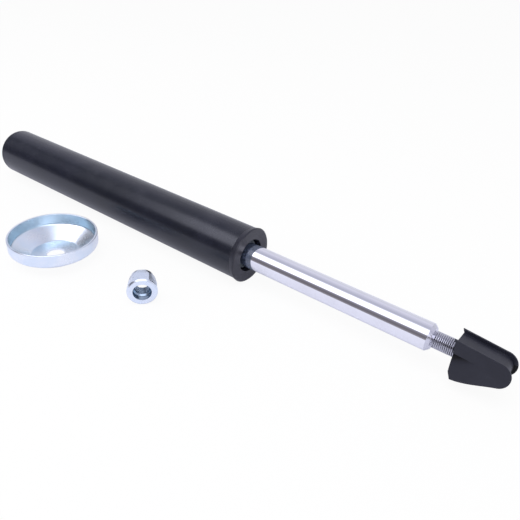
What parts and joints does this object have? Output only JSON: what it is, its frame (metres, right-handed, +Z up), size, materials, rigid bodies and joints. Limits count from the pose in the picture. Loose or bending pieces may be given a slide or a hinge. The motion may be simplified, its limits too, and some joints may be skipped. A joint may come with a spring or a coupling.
{
  "type": "gas shock absorber insert",
  "caption": "Twin-tube gas shock absorber insert for a suspension strut, with a chromed rod, a moulded strap cap on its threaded stud, and a loose dished washer and flanged nut.",
  "frame": {"origin": "centre of the outer face of the insert's base", "axes": "+X along the insert's axis from the base to the rod, +Z up from the surface that it lies on"},
  "size_m": [0.5213, 0.1395, 0.0462],
  "materials": {
    "black_coat": "satin black coating",
    "ring_black": "flat black phosphate",
    "chrome": "hard chrome, polished",
    "zinc_plate": "bright zinc plated",
    "mild_steel": "plain machined",
    "spring_steel": "hardened and ground",
    "sintered_iron": "sintered, oil darkened",
    "bronze": "rolled bearing bush",
    "seal_rubber": "smooth blue-grey rubber",
    "bumper_plastic": "moulded",
    "slide_plastic": "filled sliding plastic",
    "black_plastic": "moulded, semi matte"
  },
  "bodies": {
    "insert": {"outer_tube": "black_coat", "base_cap": "black_coat", "closure_ring": "ring_black", "seal_case": "mild_steel", "oil_seal": "seal_rubber", "garter_spring": "spring_steel", "rod_guide": "sintered_iron", "guide_bushing": "bronze", "guide_o_ring": "seal_rubber", "pressure_tube": "mild_steel", "base_valve_body": "sintered_iron", "base_check_spring": "spring_steel", "base_valve_discs": "spring_steel", "base_valve_bolt": "zinc_plate", "base_valve_nut": "zinc_plate"},
    "base_plate": {"base_check_plate": "spring_steel"},
    "band": {"piston_band": "slide_plastic"},
    "rod": {"piston_rod": "chrome", "rebound_stop": "mild_steel", "rebound_bumper": "bumper_plastic", "lift_washer": "mild_steel", "piston_spacer": "mild_steel", "piston_check_spring": "spring_steel", "piston": "sintered_iron", "rebound_valve_discs": "spring_steel", "valve_support": "mild_steel", "piston_nut": "zinc_plate"},
    "piston_plate": {"piston_check_plate": "spring_steel"},
    "cap": {"strap_cap": "black_plastic"},
    "washer": {"dished_washer": "zinc_plate"},
    "nut": {"flange_nut": "zinc_plate"}
  },
  "joints": [
    {"name": "rod_slide", "type": "slide", "parent": "insert", "child": "band", "axis": [1, 0, 0], "range_m": [-0.14, 0], "stiffness_N_per_m": 357, "springref_m": 0.504},
    {"name": "rod_spin", "type": "hinge", "parent": "band", "child": "rod", "pos_m": [0, 0, 0], "axis": [1, 0, 0], "continuous": true},
    {"name": "cap_pull", "type": "slide", "parent": "rod", "child": "cap", "axis": [1, 0, 0], "range_m": [0, 0.1]},
    {"name": "base_plate_lift", "type": "slide", "parent": "insert", "child": "base_plate", "axis": [1, 0, 0], "range_m": [0, 0.0008], "stiffness_N_per_m": 500, "springref_m": -0.001, "deforming": ["base_check_spring"]},
    {"name": "piston_plate_lift", "type": "slide", "parent": "rod", "child": "piston_plate", "axis": [1, 0, 0], "range_m": [0, 0.0008], "stiffness_N_per_m": 500, "springref_m": -0.001, "deforming": ["piston_check_spring"]},
    {"name": "washer_lift", "type": "slide", "parent": "insert", "child": "washer", "axis": [0, 0, 1], "range_m": [0, 0.12]},
    {"name": "nut_lift", "type": "slide", "parent": "insert", "child": "nut", "axis": [0, 0, 1], "range_m": [0, 0.12]}
  ]
}
